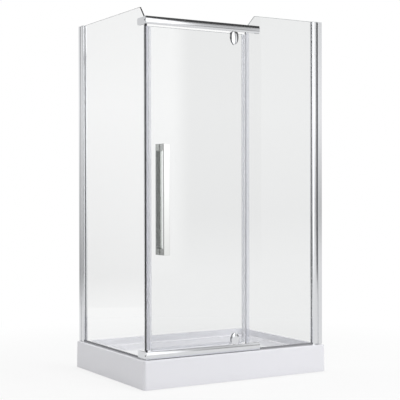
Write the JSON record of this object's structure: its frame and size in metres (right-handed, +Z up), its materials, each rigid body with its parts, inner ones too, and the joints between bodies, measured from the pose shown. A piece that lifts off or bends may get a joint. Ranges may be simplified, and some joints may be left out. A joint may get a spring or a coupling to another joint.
{
  "type": "shower enclosure with pivot door",
  "caption": "Rectangular corner shower enclosure: clear glass door on tongue pivots between two rails, fixed front and side glass, bar handle, white tray on levelling feet.",
  "frame": {"origin": "underside of the middle foot, at the centre of the tray's plan, on the floor", "axes": "+Z up, +X to the right-hand wall, +Y to the back wall; the door and the fixed front glass face -Y"},
  "size_m": [1.2, 0.917, 2.06],
  "materials": {
    "acrylic": "polished white sanitary acrylic",
    "board": "raw stiffening board",
    "galvanised": "galvanised square tube",
    "zinc_steel": "zinc plated",
    "stainless": "plain stainless",
    "chrome": "bright chrome plate",
    "bright_aluminium": "bright polished anodised",
    "glass": "clear tempered glass",
    "clear_seal": "translucent soft strip",
    "dark_rubber": "black elastomer",
    "magnet": "flexible magnet strip",
    "white_plastic": "moulded white",
    "grey_plastic": "moulded silver grey",
    "black_plastic": "moulded black"
  },
  "bodies": {
    "enclosure": {"tray": "acrylic", "tray_backing_board": "board", "tray_frame": "galvanised", "foot_pads": "black_plastic", "foot_studs": "zinc_steel", "foot_locknuts": "zinc_steel", "trap_gasket": "dark_rubber", "trap_body": "white_plastic", "trap_flange": "stainless", "side_glass": "glass", "fixed_glass": "glass", "left_wall_channel": "bright_aluminium", "right_wall_channel": "bright_aluminium", "left_panel_profile": "bright_aluminium", "right_panel_profile": "bright_aluminium", "left_glass_gasket": "clear_seal", "right_glass_gasket": "clear_seal", "left_top_cap": "grey_plastic", "right_top_cap": "grey_plastic", "left_jamb_screws": "stainless", "right_jamb_screws": "stainless", "bottom_rail": "bright_aluminium", "top_rail": "bright_aluminium", "threshold_gasket": "dark_rubber", "rail_end_caps": "chrome", "pivot_bushes": "white_plastic", "bottom_corner_clamp": "chrome", "top_corner_clamp": "chrome", "corner_clamp_plates": "chrome", "corner_clamp_pads": "dark_rubber", "corner_clamp_screws": "stainless", "rail_end_screws": "zinc_steel", "glass_clip_pads": "dark_rubber", "glass_clip_plates": "chrome", "glass_clip_screws": "stainless", "side_bottom_seal": "dark_rubber", "fixed_bottom_seal": "dark_rubber", "strike_seal": "clear_seal", "strike_magnet": "magnet", "fixed_edge_seal": "clear_seal"},
    "door": {"door_glass": "glass", "top_hinge_tongue": "chrome", "bottom_hinge_tongue": "chrome", "hinge_inner_plates": "chrome", "hinge_gaskets": "dark_rubber", "hinge_screws": "stainless", "pivot_pins": "stainless", "door_magnetic_seal": "clear_seal", "door_magnet": "magnet", "door_edge_seal": "clear_seal", "door_drip_seal": "clear_seal", "outer_handle": "chrome", "inner_handle": "chrome", "handle_studs": "zinc_steel", "handle_bosses": "stainless", "handle_washers": "clear_seal", "handle_grub_screws": "stainless"},
    "waste_insert": {"waste_cover": "chrome", "waste_strainer": "white_plastic"}
  },
  "joints": [
    {"name": "door_pivot", "type": "hinge", "parent": "enclosure", "child": "door", "pos_m": [-0.013, -0.417, 1.08], "axis": [0, 0, 1], "range_deg": [0, 90]},
    {"name": "waste_cover_lift", "type": "slide", "parent": "enclosure", "child": "waste_insert", "axis": [0, 0, 1], "range_m": [0, 0.06]}
  ]
}
